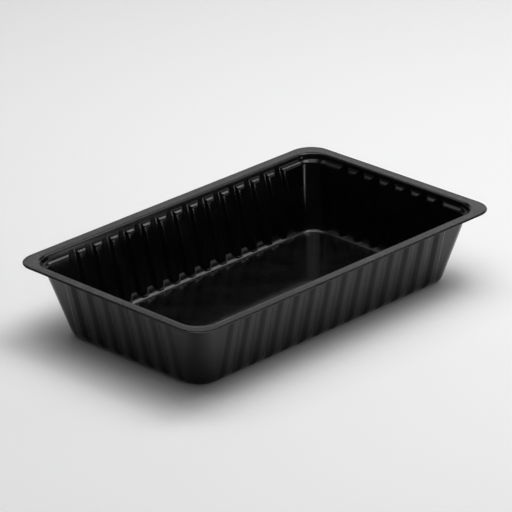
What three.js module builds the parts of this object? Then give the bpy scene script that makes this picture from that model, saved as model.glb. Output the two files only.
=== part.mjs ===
// A black plastic food tray, thermoformed from one thin sheet: a flat floor, tapering walls stiffened by
// upright ribs, a small ledge below a plain collar, and a flat flange all round the rim.
// Millimetres, +Z up, the long sides along X, the origin at the middle of the underside.
import * as THREE from "three";

// Overall size and sheet
const rimLength = 230;
const rimWidth = 144;
const trayHeight = 42.5;
const sheetThickness = 0.5;

// Outline on the table, where the straight part of the walls would meet it
const baseLength = 194;
const baseWidth = 105.8;

// Profile from the floor to the rim, seen in a cut through a long side
const wallDraft = THREE.MathUtils.degToRad(13.9);
const floorFilletRadius = 3.2;
const ledgeBottomZ = 37.3;
const ledgeTopZ = 38.9;
const shoulderRadius = 1.2;

// Corner radii in plan, on the food side of the sheet
const floorCornerRadius = 11.5;
const wallTopCornerRadius = 9.5;
const collarCornerRadius = 12;
const rimCornerRadius = 13.6;

// Ribs: they stand outward from the walls, level with the collar, and run out above the floor fillet
const ribDepth = 1.8;
const ribCrestWidth = 4.4;
const ribFootWidth = 7.8;
const ribRunOutZ = 1.5;
const ribFullZ = 4.3;
const longSideRibs = { count: 14, pitch: 12.17 };
const shortSideRibs = { count: 7, pitch: 12.1 };

// How finely curves are divided
const cornerSteps = 8;
const filletSteps = 4;
const shoulderSteps = 5;

const down = -Math.PI / 2;
const halfBase = { x: baseLength / 2, y: baseWidth / 2 };
const halfRim = { x: rimLength / 2, y: rimWidth / 2 };
const rimReach = halfRim.y - halfBase.y;
const shortSideRatio = (halfRim.x - halfBase.x) / rimReach;

// The food side of the plain wall: how far it stands outside the base outline at a height.
function wallReach(z) {
  return z * Math.tan(wallDraft) - sheetThickness / Math.cos(wallDraft);
}

// How far a rib stands out of the wall at a height: it rises softly above the floor fillet.
function ribBulge(z) {
  return ribDepth * THREE.MathUtils.smoothstep(z, ribRunOutZ, ribFullZ);
}

// A level is one horizontal line round the food side of the sheet: its reach outside the base outline, its
// height, its corner radius, and its tilt, which is the direction in a cut through the wall in which the
// sheet's thickness lies: straight down under the floor, outward at a wall.

// The fillet between floor and wall, with the run-out of the ribs in its upper half.
function floorFillet() {
  const centreZ = sheetThickness + floorFilletRadius;
  const centreReach = wallReach(centreZ) - floorFilletRadius / Math.cos(wallDraft);
  const levels = [];
  for (let i = 0; i <= filletSteps; i++) {
    const tilt = THREE.MathUtils.lerp(down, -wallDraft, i / filletSteps);
    const reach = centreReach + floorFilletRadius * Math.cos(tilt);
    const z = centreZ + floorFilletRadius * Math.sin(tilt);
    levels.push({ reach, z, tilt, corner: floorCornerRadius + reach, bulge: ribBulge(z), ribbed: i > 0 });
  }
  return levels;
}

// The ribbed wall from the fillet to the ledge.
function ribbedWall() {
  const ribRisingZ = THREE.MathUtils.lerp(ribRunOutZ, ribFullZ, 0.75);
  return [ribRisingZ, ribFullZ, ledgeBottomZ].map((z) => {
    const corner = THREE.MathUtils.mapLinear(z, 0, ledgeBottomZ, floorCornerRadius, wallTopCornerRadius);
    return { reach: wallReach(z), z, tilt: -wallDraft, corner, bulge: ribBulge(z), ribbed: true };
  });
}

// The ledge's upper edge, where wall and ribs meet in the plane of the collar.
function ledgeEdge() {
  const reach = wallReach(ledgeTopZ) + ribDepth;
  return { reach, z: ledgeTopZ, tilt: -wallDraft, corner: collarCornerRadius, bulge: 0, ribbed: true };
}

// The bend from the collar out to the flange.
function shoulder() {
  const centreZ = trayHeight - shoulderRadius;
  const centreReach = wallReach(centreZ) + ribDepth + shoulderRadius / Math.cos(wallDraft);
  const levels = [];
  for (let i = 0; i <= shoulderSteps; i++) {
    const tilt = THREE.MathUtils.lerp(-wallDraft, down, i / shoulderSteps);
    const reach = centreReach - shoulderRadius * Math.cos(tilt);
    const z = centreZ - shoulderRadius * Math.sin(tilt);
    levels.push({ reach, z, tilt, corner: collarCornerRadius, bulge: 0, ribbed: false });
  }
  return levels;
}

// The flange's outer edge.
function flangeEdge() {
  return { reach: rimReach, z: trayHeight, tilt: down, corner: rimCornerRadius, bulge: 0, ribbed: false };
}

// The same level on the underside, one sheet thickness further along its tilt.
function underside({ reach, z, tilt, corner, bulge, ribbed }) {
  const outward = sheetThickness * Math.cos(tilt);
  return {
    reach: reach + outward,
    z: z + sheetThickness * Math.sin(tilt),
    corner: corner + outward,
    bulge,
    ribbed,
    under: true,
  };
}

// Where the middles of the ribs of one side lie along it.
function ribMiddles(ribs) {
  return Array.from({ length: ribs.count }, (_, i) => (i - (ribs.count - 1) / 2) * ribs.pitch);
}

// Points across the ribs of one side: their place along the side and how far they stand out. Ribs are
// wider on the underside, so that their flanks keep the sheet's thickness.
function ribStations(ribs, bulge, under) {
  const flankSlope = Math.atan2(ribDepth, (ribFootWidth - ribCrestWidth) / 2);
  const widening = under ? sheetThickness * Math.tan(flankSlope / 2) : 0;
  const halfCrest = ribCrestWidth / 2 + widening;
  const halfFoot = ribFootWidth / 2 + widening;
  return ribMiddles(ribs).flatMap((middle) => [
    { along: middle - halfFoot, out: 0 },
    { along: middle - halfCrest, out: bulge },
    { along: middle + halfCrest, out: bulge },
    { along: middle + halfFoot, out: 0 },
  ]);
}

// A plain side is divided at the middles of the ribs below or above it.
function plainStations(ribs) {
  return ribMiddles(ribs).map((middle) => ({ along: middle, out: 0 }));
}

// The rounded corner of one quarter of a ring. The turn of a point counts the corners and sides passed.
function cornerPoints(quarter, halfLength, halfWidth, corner, z) {
  const signX = quarter === 1 || quarter === 2 ? -1 : 1;
  const signY = quarter >= 2 ? -1 : 1;
  const points = [];
  for (let i = 0; i <= cornerSteps; i++) {
    const part = i / cornerSteps;
    const angle = (quarter + part) * (Math.PI / 2);
    const x = signX * (halfLength - corner) + corner * Math.cos(angle);
    const y = signY * (halfWidth - corner) + corner * Math.sin(angle);
    points.push({ at: new THREE.Vector3(x, y, z), turn: 2 * quarter + part });
  }
  return points;
}

// The straight side that follows a quarter's corner.
function sidePoints(quarter, halfLength, halfWidth, { bulge, under, ribbed, z }) {
  const isLong = quarter % 2 === 0;
  const ribs = isLong ? longSideRibs : shortSideRibs;
  const wallDistance = isLong ? halfWidth : halfLength;
  const sideMiddle = 2 * quarter + 1.5;
  const upAxis = new THREE.Vector3(0, 0, 1);
  const stations = ribbed ? ribStations(ribs, bulge, under) : plainStations(ribs);
  return stations.map(({ along, out }) => {
    const at = new THREE.Vector3(-along, wallDistance + out, z);
    at.applyAxisAngle(upAxis, quarter * (Math.PI / 2));
    return { at, turn: sideMiddle + along / rimLength };
  });
}

// One closed ring of points at a level, counter-clockwise from the +X end of the first corner.
function ring(level) {
  const halfLength = halfBase.x + level.reach * shortSideRatio;
  const halfWidth = halfBase.y + level.reach;
  const points = [];
  for (let quarter = 0; quarter < 4; quarter++) {
    points.push(...cornerPoints(quarter, halfLength, halfWidth, level.corner, level.z));
    points.push(...sidePoints(quarter, halfLength, halfWidth, level));
  }
  return points;
}

// Triangles of the band between two rings, walking round both in step with their turns.
function band(lower, upper, firstLower, firstUpper) {
  const turnAt = (points, i) => (i < points.length ? points[i].turn : 8);
  const tieMargin = 1e-9;
  const indices = [];
  let i = 0;
  let j = 0;
  while (i < lower.length || j < upper.length) {
    const a = firstLower + (i % lower.length);
    const b = firstUpper + (j % upper.length);
    const lowerIsNext = turnAt(lower, i + 1) <= turnAt(upper, j + 1) + tieMargin;
    if (i < lower.length && (lowerIsNext || j === upper.length)) {
      i += 1;
      indices.push(a, b, firstLower + (i % lower.length));
    } else {
      j += 1;
      indices.push(a, b, firstUpper + (j % upper.length));
    }
  }
  return indices;
}

// Closes a ring with a fan round a point in the middle of the floor.
function floorFan(ringLength, first, middle, facesUp) {
  const indices = [];
  for (let i = 0; i < ringLength; i++) {
    const a = first + i;
    const b = first + ((i + 1) % ringLength);
    indices.push(middle, facesUp ? a : b, facesUp ? b : a);
  }
  return indices;
}

// The closed shell: up the food side from the floor to the flange's edge, then back down the underside.
function trayGeometry() {
  const foodSide = [...floorFillet(), ...ribbedWall(), ledgeEdge(), ...shoulder(), flangeEdge()];
  const rings = [...foodSide, ...foodSide.map(underside).reverse()].map(ring);
  const positions = [];
  const firsts = [];
  for (const points of rings) {
    firsts.push(positions.length / 3);
    for (const { at } of points) positions.push(at.x, at.y, at.z);
  }
  const indices = [];
  for (let k = 0; k + 1 < rings.length; k++) {
    indices.push(...band(rings[k], rings[k + 1], firsts[k], firsts[k + 1]));
  }
  const floorMiddle = positions.length / 3;
  positions.push(0, 0, sheetThickness);
  positions.push(0, 0, 0);
  indices.push(...floorFan(rings[0].length, firsts[0], floorMiddle, true));
  indices.push(...floorFan(rings.at(-1).length, firsts.at(-1), floorMiddle + 1, false));

  const geometry = new THREE.BufferGeometry();
  geometry.setAttribute("position", new THREE.Float32BufferAttribute(positions, 3));
  geometry.setIndex(indices);
  geometry.computeVertexNormals();
  return geometry;
}

const blackPlastic = new THREE.MeshStandardMaterial({ color: 0x0d0d0e, roughness: 0.28, metalness: 0 });

const tray = new THREE.Mesh(trayGeometry(), blackPlastic);
tray.name = "tray";

const foodTray = new THREE.Group();
foodTray.add(tray);

export default foodTray;
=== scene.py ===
import math

import bpy
import numpy as np
from mathutils import Matrix, Vector, noise


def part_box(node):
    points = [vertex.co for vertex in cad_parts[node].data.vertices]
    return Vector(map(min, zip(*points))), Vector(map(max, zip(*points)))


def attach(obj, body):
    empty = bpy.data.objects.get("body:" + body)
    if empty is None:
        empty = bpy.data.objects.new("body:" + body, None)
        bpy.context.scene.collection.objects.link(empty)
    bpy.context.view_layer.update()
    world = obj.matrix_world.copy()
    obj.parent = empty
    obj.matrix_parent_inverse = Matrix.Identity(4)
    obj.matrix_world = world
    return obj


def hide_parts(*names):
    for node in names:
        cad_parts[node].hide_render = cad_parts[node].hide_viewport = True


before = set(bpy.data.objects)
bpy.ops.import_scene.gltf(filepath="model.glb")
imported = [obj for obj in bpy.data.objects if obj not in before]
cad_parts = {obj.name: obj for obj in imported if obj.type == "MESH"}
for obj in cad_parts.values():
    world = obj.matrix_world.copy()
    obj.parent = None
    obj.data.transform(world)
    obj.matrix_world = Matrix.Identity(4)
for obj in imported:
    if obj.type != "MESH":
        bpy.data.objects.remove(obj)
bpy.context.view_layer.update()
mm = 0.001

# The tray, in millimetres. Its length, width and height come from the frame.
traySettings = {
    "thickness": 0.5,
    "baseLength": 194.0,          # where the straight walls would meet the table
    "baseWidth": 105.8,
    "draftDegrees": 13.9,
    "floorFillet": 3.2,
    "floorCorner": 11.5,          # plan radii, on the food side
    "wallTopCorner": 9.5,
    "rimCorner": 13.6,
    "ledgeBottom": 37.6,          # heights of the sloped ledge
    "ledgeTop": 39.2,
    "ledgeFootRounding": 0.5,
    "ledgeHeadRounding": 0.7,
    "ledgeCornerGrowth": 1.6,     # growth of the plan radius for each millimetre the ledge steps out
    "shoulder": 1.2,
    "edgeRounding": 0.4,
    "ribDepth": 1.8,              # the upright ribs stand outward from the walls
    "ribCrestWidth": 4.4,
    "ribFootWidth": 7.8,
    "ribCrestRounding": 0.5,
    "ribFootRounding": 0.7,
    "ribRunOut": 1.4,             # a rib rises out of the floor fillet between these heights
    "ribFull": 4.7,
    "crestFlare": 0.3,            # how much wider each side of a rib is where it runs out
    "footFlare": 0.5,
    "domeSoftness": 0.8,          # added to both roundings at the dome's foot
    "ribBlend": 0.35,             # softness of a rib's ends, at dome and ledge, as a share of its depth
    "longRibCount": 14,
    "longRibPitch": 12.17,
    "shortRibCount": 7,
    "shortRibPitch": 12.1,
    "wallWave": 0.10,             # how far the sheet strays from its true shape after it has cooled
    "flangeWave": 0.16,
    "floorWave": 0.14,
    "waveLength": 38.0,
    "cornerSteps": 20,
}


def smooth(edge0, edge1, x):
    t = np.clip((x - edge0) / (edge1 - edge0), 0.0, 1.0)
    return t * t * (3 - 2 * t)


# 0 below edge0, 1 above edge1, straight between, with each bend rounded over its own length
def roundedRamp(edge0, edge1, rounding0, rounding1, x):
    def bend(t, rounding):
        t = np.clip(t, -rounding, None)
        return np.where(t < rounding, (t + rounding) ** 2 / (4 * rounding), t)

    return (bend(x - edge0, rounding0) - bend(x - edge1, rounding1)) / (edge1 - edge0)


# The food side of the plain wall: how far it stands outside the base outline at a height
def wallReach(z):
    draft = math.radians(traySettings["draftDegrees"])
    return z * math.tan(draft) - traySettings["thickness"] / math.cos(draft)


# Lines round the food side, from the middle of the floor to the flange's edge. Each has its reach outside
# the base outline, height, plan radius, share of the ledge below it, and scale towards the middle.
def trayLevels(height, rimReach):
    s = traySettings
    draft = math.radians(s["draftDegrees"])
    levels = []

    def add(reach, z, corner, ledge=0.0, scale=1.0):
        levels.append((reach, z, corner, ledge, scale))

    # Floor and fillet
    floorScales = (0.03, 0.12, 0.25, 0.38, 0.5, 0.62, 0.75, 0.86, 0.94, 0.985)
    centreZ = s["thickness"] + s["floorFillet"]
    centreReach = wallReach(centreZ) - s["floorFillet"] / math.cos(draft)
    for scale in floorScales:
        add(centreReach, s["thickness"], s["floorCorner"] + centreReach, 0.0, scale)
    filletSteps = 9
    for i in range(filletSteps + 1):
        tilt = -math.pi / 2 + (math.pi / 2 - draft) * i / filletSteps
        reach = centreReach + s["floorFillet"] * math.cos(tilt)
        z = centreZ + s["floorFillet"] * math.sin(tilt)
        add(reach, z, s["floorCorner"] + reach)

    # Wall and ledge
    filletTop = levels[-1][1]
    domeTop, domeSteps = 6.2, 10
    domeHeights = list(np.linspace(filletTop, domeTop, domeSteps))[1:]
    wallHeights = [7.5, 12, 18, 24, 30, 34]
    ledgeMargin, ledgeSteps = 0.1, 14
    ledgeStart = s["ledgeBottom"] - s["ledgeFootRounding"] - ledgeMargin
    ledgeEnd = s["ledgeTop"] + s["ledgeHeadRounding"] + ledgeMargin
    ledgeHeights = list(np.linspace(ledgeStart, ledgeEnd, ledgeSteps))
    bends = (s["ledgeFootRounding"], s["ledgeHeadRounding"])
    for z in domeHeights + wallHeights + ledgeHeights:
        ledge = float(roundedRamp(s["ledgeBottom"], s["ledgeTop"], *bends, z))
        part = min(z / s["ledgeBottom"], 1.0)
        corner = s["floorCorner"] + (s["wallTopCorner"] - s["floorCorner"]) * part
        out = ledge * s["ribDepth"]
        add(wallReach(z) + out, z, corner + out * s["ledgeCornerGrowth"], ledge)

    # Collar, shoulder and flange
    centreZ = height - s["shoulder"]
    centreReach = wallReach(centreZ) + s["ribDepth"] + s["shoulder"] / math.cos(draft)
    collarCorner = s["wallTopCorner"] + s["ribDepth"] * s["ledgeCornerGrowth"]
    shoulderSteps = 8
    for i in range(shoulderSteps + 1):
        tilt = -draft - (math.pi / 2 - draft) * i / shoulderSteps
        reach = centreReach - s["shoulder"] * math.cos(tilt)
        z = centreZ - s["shoulder"] * math.sin(tilt)
        add(reach, z, collarCorner, 1.0)
    flangeSteps = 4
    r = s["edgeRounding"]
    flatEnd, flatCorner = rimReach - r, s["rimCorner"] - r
    for i in range(1, flangeSteps + 1):
        part = i / flangeSteps
        reach = centreReach + (flatEnd - centreReach) * part
        add(reach, height, collarCorner + (flatCorner - collarCorner) * part, 1.0)
    for turn in (30, 60, 90):
        a = math.radians(turn)
        reach = flatEnd + r * math.sin(a)
        z = height - r + r * math.cos(a)
        add(reach, z, flatCorner + r * math.sin(a), 1.0)
    return levels


# Where the points of one side lie along it, and how far each is from the middle of the nearest rib
def sideStations(count, pitch):
    halfRib = [0.0, 1.35, 1.75, 2.05, 2.35, 2.7, 3.15, 3.55, 3.95, 4.4, 4.9]
    offsets = sorted([-d for d in halfRib[1:]] + halfRib + [pitch / 2])
    middles = [(i - (count - 1) / 2) * pitch for i in range(count)]
    along = np.array([middle + d for middle in middles for d in offsets][:-1])
    away = np.min([abs(along - middle) for middle in middles], axis=0)
    return along, away


# The smaller of two values, with the change from one to the other rounded over a width
def softMin(a, b, width):
    width = max(width, 1e-6)
    part = np.clip(0.5 + 0.5 * (b - a) / width, 0.0, 1.0)
    return b * (1 - part) + a * part - width * part * (1 - part)


# How deep a rib is at a height, as a share of its full depth: it ends in a dome above the floor
def ribShare(away, z):
    s = traySettings
    climb = max(z - s["ribRunOut"], 0.0) / (s["ribFull"] - s["ribRunOut"])
    low = 1 - float(smooth(0.0, 1.0, climb))
    crest = s["ribCrestWidth"] / 2 + s["crestFlare"] * low
    foot = s["ribFootWidth"] / 2 + s["footFlare"] * low
    soften = s["domeSoftness"] * low
    bends = (s["ribCrestRounding"] + soften, s["ribFootRounding"] + soften)
    across = 1 - roundedRamp(crest, foot, *bends, away)
    return np.clip(softMin(across, climb, s["ribBlend"]), 0.0, None)


# One closed ring of points, with the ribs standing out of its straight sides below the collar
def trayRing(level, halfBase, shortRatio, sides):
    reach, z, corner, ledge, scale = level
    halfLength = halfBase[0] + reach * shortRatio
    halfWidth = halfBase[1] + reach
    points = []
    steps = traySettings["cornerSteps"]
    depth = traySettings["ribDepth"]
    blend = traySettings["ribBlend"] * min(ledge, 1 - ledge)
    for quarter in range(4):
        signX = -1 if quarter in (1, 2) else 1
        signY = -1 if quarter >= 2 else 1
        angle = (quarter + np.arange(steps + 1) / steps) * math.pi / 2
        x = signX * (halfLength - corner) + corner * np.cos(angle)
        y = signY * (halfWidth - corner) + corner * np.sin(angle)
        points.append(np.stack([x, y], 1))
        along, away = sides[quarter % 2]
        bulge = depth * (-softMin(-ribShare(away, z), -ledge, blend) - ledge)
        distance = (halfWidth if quarter % 2 == 0 else halfLength) + bulge
        turn = quarter * math.pi / 2
        c, s = round(math.cos(turn)), round(math.sin(turn))
        points.append(np.stack([-along * c - distance * s, -along * s + distance * c], 1))
    ring = np.concatenate(points) * scale
    return np.column_stack([ring, np.full(len(ring), z)])


def gridNormals(grid):
    around = np.roll(grid, -1, 1) - np.roll(grid, 1, 1)
    up = np.gradient(grid, axis=0)
    normal = np.cross(up, around)
    return normal / np.linalg.norm(normal, axis=2, keepdims=True)


# Slow waves left by cooling: never upward on the flange, never downward on the floor
def coolWaves(grid, normal, height):
    s = traySettings
    wave = np.zeros(grid.shape[:2])
    for i in range(grid.shape[0]):
        for j in range(grid.shape[1]):
            wave[i, j] = noise.noise(Vector(grid[i, j]) / s["waveLength"])
    z = grid[:, :, 2]
    flangeFade = (height - 2.5, height - 0.3)        # heights between which each kind comes in or goes
    wallFade = (3.0, 14.0)
    floorFade = (0.5, 1.2)
    onFlange = smooth(*flangeFade, z)
    onWall = smooth(*wallFade, z) * (1 - onFlange)
    onFloor = 1 - smooth(*floorFade, z)
    bent = grid + normal * (wave * s["wallWave"] * onWall)[:, :, None]
    bent[:, :, 2] -= onFlange * s["flangeWave"] * (0.5 + 0.5 * wave)
    bent[:, :, 2] += onFloor * s["floorWave"] * (0.5 + 0.5 * wave)
    return bent


# A closed mesh from rings of points, with a fan to a middle point at its first and its last ring
def shellMesh(name, shell, firstMiddle, lastMiddle):
    rings, around = shell.shape[:2]
    verts = [tuple(p) for p in shell.reshape(-1, 3) * mm]
    verts += [(0.0, 0.0, firstMiddle * mm), (0.0, 0.0, lastMiddle * mm)]
    top, bottom = len(verts) - 2, len(verts) - 1
    faces = []
    for i in range(rings - 1):
        here, above = i * around, (i + 1) * around
        for j in range(around):
            k = (j + 1) % around
            faces.append((above + j, above + k, here + k, here + j))
    last = (rings - 1) * around
    for j in range(around):
        k = (j + 1) % around
        faces.append((j, k, top))
        faces.append((last + k, last + j, bottom))
    mesh = bpy.data.meshes.new(name)
    mesh.from_pydata(verts, [], faces)
    mesh.validate()
    for p in mesh.polygons:
        p.use_smooth = True
    mesh.update()
    return mesh


def makeTray(name):
    s = traySettings
    low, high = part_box("tray")
    height = (high.z - low.z) / mm
    halfRim = ((high.x - low.x) / mm / 2, (high.y - low.y) / mm / 2)
    halfBase = (s["baseLength"] / 2, s["baseWidth"] / 2)
    rimReach = halfRim[1] - halfBase[1]
    shortRatio = (halfRim[0] - halfBase[0]) / rimReach
    longSide = sideStations(s["longRibCount"], s["longRibPitch"])
    shortSide = sideStations(s["shortRibCount"], s["shortRibPitch"])
    levels = trayLevels(height, rimReach)
    grid = np.stack([trayRing(level, halfBase, shortRatio, (longSide, shortSide)) for level in levels])
    grid = coolWaves(grid, gridNormals(grid), height)
    under = grid - gridNormals(grid) * s["thickness"]
    under[:, :, 2] = np.clip(under[:, :, 2], 0.0, None)
    under[:, :, 0] = np.clip(under[:, :, 0], -halfRim[0], halfRim[0])
    under[:, :, 1] = np.clip(under[:, :, 1], -halfRim[1], halfRim[1])
    underside = under[:-2][::-2]          # it needs only every second level
    shell = np.concatenate([grid, underside])
    mesh = shellMesh(name, shell, float(grid[0, :, 2].mean()), float(under[0, 0, 2]))
    tray = bpy.data.objects.new(name, mesh)
    bpy.context.scene.collection.objects.link(tray)
    return tray


# Black polypropylene: a dark sheet with uneven gloss, fine grain and faint upright draw lines
plasticLook = {
    "darkest": (0.0018, 0.0018, 0.0019, 1),
    "lightest": (0.0042, 0.0042, 0.0045, 1),
    "ior": 1.42,
    "glossy": 0.13,               # roughness where the sheet is glossiest and where it is dullest
    "dull": 0.21,
    "patchScale": 55.0,           # slow patches of gloss and shade
    "grainScale": 1400.0,
    "grainHeight": 0.000006,      # heights in metres
    "grainStrength": 0.35,
    "drawScale": 520.0,
    "drawStretch": 0.06,          # the smaller, the longer the lines run up the walls
    "drawHeight": 0.00002,
    "drawStrength": 0.3,
    "noiseRange": (0.35, 0.65),   # the noises mostly stay in this range
    "steepRange": (0.4, 0.8),     # upright share of the surface direction over which draw lines fade out
}


def noiseNode(nodes, links, vector, scale, detail):
    node = nodes.new("ShaderNodeTexNoise")
    node.inputs["Scale"].default_value = scale
    node.inputs["Detail"].default_value = detail
    links.new(vector, node.inputs["Vector"])
    return node.outputs["Fac"]


def blackPlastic(name):
    look = plasticLook
    mat = bpy.data.materials.new(name)
    mat.use_nodes = True
    nodes, links = mat.node_tree.nodes, mat.node_tree.links
    nodes.clear()
    out = nodes.new("ShaderNodeOutputMaterial")
    shader = nodes.new("ShaderNodeBsdfPrincipled")
    shader.inputs["IOR"].default_value = look["ior"]
    coord = nodes.new("ShaderNodeTexCoord")
    place = coord.outputs["Object"]
    stretch = nodes.new("ShaderNodeMapping")         # draw lines run up the walls
    stretch.inputs["Scale"].default_value = (1.0, 1.0, look["drawStretch"])
    links.new(place, stretch.inputs["Vector"])
    patch = noiseNode(nodes, links, place, look["patchScale"], 4.0)
    grain = noiseNode(nodes, links, place, look["grainScale"], 3.0)
    draw = noiseNode(nodes, links, stretch.outputs["Vector"], look["drawScale"], 2.0)

    colour = nodes.new("ShaderNodeValToRGB")
    for element, end, shade in zip(colour.color_ramp.elements, look["noiseRange"], ("darkest", "lightest")):
        element.position = end
        element.color = look[shade]
    links.new(patch, colour.inputs["Fac"])
    links.new(colour.outputs["Color"], shader.inputs["Base Color"])

    half = nodes.new("ShaderNodeMath")               # gloss follows patches and draw lines equally
    half.operation = "MULTIPLY"
    half.inputs[1].default_value = 0.5
    links.new(patch, half.inputs[0])
    mixed = nodes.new("ShaderNodeMath")
    mixed.operation = "MULTIPLY_ADD"
    mixed.inputs[1].default_value = 0.5
    links.new(draw, mixed.inputs[0])
    links.new(half.outputs["Value"], mixed.inputs[2])
    gloss = nodes.new("ShaderNodeMapRange")
    gloss.inputs["From Min"].default_value = look["noiseRange"][0]
    gloss.inputs["From Max"].default_value = look["noiseRange"][1]
    gloss.inputs["To Min"].default_value = look["glossy"]
    gloss.inputs["To Max"].default_value = look["dull"]
    links.new(mixed.outputs["Value"], gloss.inputs["Value"])
    links.new(gloss.outputs["Result"], shader.inputs["Roughness"])

    grainBump = nodes.new("ShaderNodeBump")
    grainBump.inputs["Strength"].default_value = look["grainStrength"]
    grainBump.inputs["Distance"].default_value = look["grainHeight"]
    links.new(grain, grainBump.inputs["Height"])
    facing = nodes.new("ShaderNodeSeparateXYZ")      # draw lines only where the sheet is steep
    links.new(coord.outputs["Normal"], facing.inputs["Vector"])
    flatness = nodes.new("ShaderNodeMath")
    flatness.operation = "ABSOLUTE"
    links.new(facing.outputs["Z"], flatness.inputs[0])
    steep = nodes.new("ShaderNodeMapRange")
    steep.inputs["From Min"].default_value = look["steepRange"][0]
    steep.inputs["From Max"].default_value = look["steepRange"][1]
    steep.inputs["To Min"].default_value = look["drawStrength"]
    steep.inputs["To Max"].default_value = 0.0
    links.new(flatness.outputs["Value"], steep.inputs["Value"])
    drawBump = nodes.new("ShaderNodeBump")
    drawBump.inputs["Distance"].default_value = look["drawHeight"]
    links.new(steep.outputs["Result"], drawBump.inputs["Strength"])
    links.new(draw, drawBump.inputs["Height"])
    links.new(grainBump.outputs["Normal"], drawBump.inputs["Normal"])
    links.new(drawBump.outputs["Normal"], shader.inputs["Normal"])
    links.new(shader.outputs["BSDF"], out.inputs["Surface"])
    return mat


# The photograph's viewpoint: angles in degrees, distances, lens and sensor in millimetres
viewSettings = {
    "azimuth": -44.495,
    "elevation": 23.571,
    "roll": -1.378,
    "distance": 2002.5,
    "aside": -1.497,
    "above": 7.655,
    "lens": 257.4,
    "sensor": 36.0,
}


def makeCamera():
    v = viewSettings
    az, el, roll = (math.radians(v[k]) for k in ("azimuth", "elevation", "roll"))
    back = Vector((math.sin(az) * math.cos(el), -math.cos(az) * math.cos(el), math.sin(el)))
    right = Vector((math.cos(az), math.sin(az), 0))
    up = back.cross(right)
    turnedRight = right * math.cos(roll) + up * math.sin(roll)
    turnedUp = up * math.cos(roll) - right * math.sin(roll)
    low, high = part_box("tray")
    middle = (low + high) / 2
    place = middle + (back * v["distance"] + turnedRight * v["aside"] + turnedUp * v["above"]) * mm
    data = bpy.data.cameras.new("studioCamera")
    data.lens = v["lens"]
    data.sensor_width = v["sensor"]
    data.clip_start = 0.05
    data.clip_end = 30
    camera = bpy.data.objects.new("studioCamera", data)
    bpy.context.scene.collection.objects.link(camera)
    turned = Matrix((turnedRight, turnedUp, back)).transposed()
    camera.matrix_world = Matrix.LocRotScale(place, turned.to_quaternion(), None)
    bpy.context.scene.camera = camera


floorLook = {
    "size": 6.0,                  # metres
    "colour": (0.96, 0.96, 0.96, 1),
    "roughness": 0.6,
}


def makeFloor():
    half = floorLook["size"] / 2
    corners = [(-half, -half, 0), (half, -half, 0), (half, half, 0), (-half, half, 0)]
    mesh = bpy.data.meshes.new("studioFloor")
    mesh.from_pydata(corners, [], [(0, 1, 2, 3)])
    floor = bpy.data.objects.new("studioFloor", mesh)
    bpy.context.scene.collection.objects.link(floor)
    mat = bpy.data.materials.new("palePaint")
    mat.use_nodes = True
    shader = mat.node_tree.nodes["Principled BSDF"]
    shader.inputs["Base Color"].default_value = floorLook["colour"]
    shader.inputs["Roughness"].default_value = floorLook["roughness"]
    mesh.materials.append(mat)


# Softboxes round the tray: azimuth, elevation, width and height as seen from it, in degrees, and radiance
softBoxes = {
    "low": (5.5, 3.25, 60.0, 5.5, 8.0),
    "strip": (11.5, 11.0, 8.0, 9.0, 5.0),
    "side": (64.5, 22.5, 54.0, 23.0, 0.85),
    "back": (115.5, 18.0, 76.0, 12.0, 0.52),
    "left": (-169.5, 18.0, 66.0, 12.0, 0.48),
    "rim": (135.5, 24.3, 60.0, 3.6, 1.25),
    "highLeft": (-179.5, 55.0, 60.0, 10.0, 1.1),
    "highRight": (83.0, 50.0, 16.0, 9.0, 3.8),
    "hot": (92.0, 58.5, 20.0, 8.0, 5.0),
    "topBack": (165.5, 67.5, 25.0, 15.0, 3.0),
    "topLeft": (-74.5, 67.5, 25.0, 15.0, 1.9),
    "topFront": (-14.5, 67.5, 25.0, 15.0, 1.9),
    "topRight": (45.5, 69.0, 25.0, 14.0, 4.8),
    "topFar": (105.5, 67.5, 25.0, 15.0, 4.4),
    "overhead": (45.5, 90.0, 28.0, 28.0, 1.8),
}
softBoxDistance = 1.1             # metres
farBoxDistance = 3.0
farBoxes = ("rim",)               # the box behind the tray that the flange mirrors
roomLight = 0.03


def makeLights():
    for name, (azimuth, elevation, wide, high, radiance) in softBoxes.items():
        az, el = math.radians(azimuth), math.radians(elevation)
        way = Vector((math.sin(az) * math.cos(el), -math.cos(az) * math.cos(el), math.sin(el)))
        away = farBoxDistance if name in farBoxes else softBoxDistance
        data = bpy.data.lights.new(name, "AREA")
        data.shape = "RECTANGLE"
        data.size = 2 * away * math.tan(math.radians(wide / 2))
        data.size_y = 2 * away * math.tan(math.radians(high / 2))
        data.energy = radiance * math.pi * data.size * data.size_y
        lamp = bpy.data.objects.new(name, data)
        lamp.visible_camera = False
        lamp.location = way * away
        lamp.rotation_euler = way.to_track_quat("Z", "Y").to_euler()
        bpy.context.scene.collection.objects.link(lamp)
    world = bpy.data.worlds.new("paleRoom")
    world.use_nodes = True
    world.node_tree.nodes["Background"].inputs["Color"].default_value = (1, 1, 1, 1)
    world.node_tree.nodes["Background"].inputs["Strength"].default_value = roomLight
    bpy.context.scene.world = world
    bpy.context.scene.view_settings.view_transform = "Standard"


makeCamera()
print("camera set")
makeFloor()
makeLights()
print("floor and lights set")
tray = makeTray("foodTray")
tray.data.materials.append(blackPlastic("blackPolypropylene"))
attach(tray, "root")
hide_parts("tray")
print("tray made:", len(tray.data.polygons), "faces")
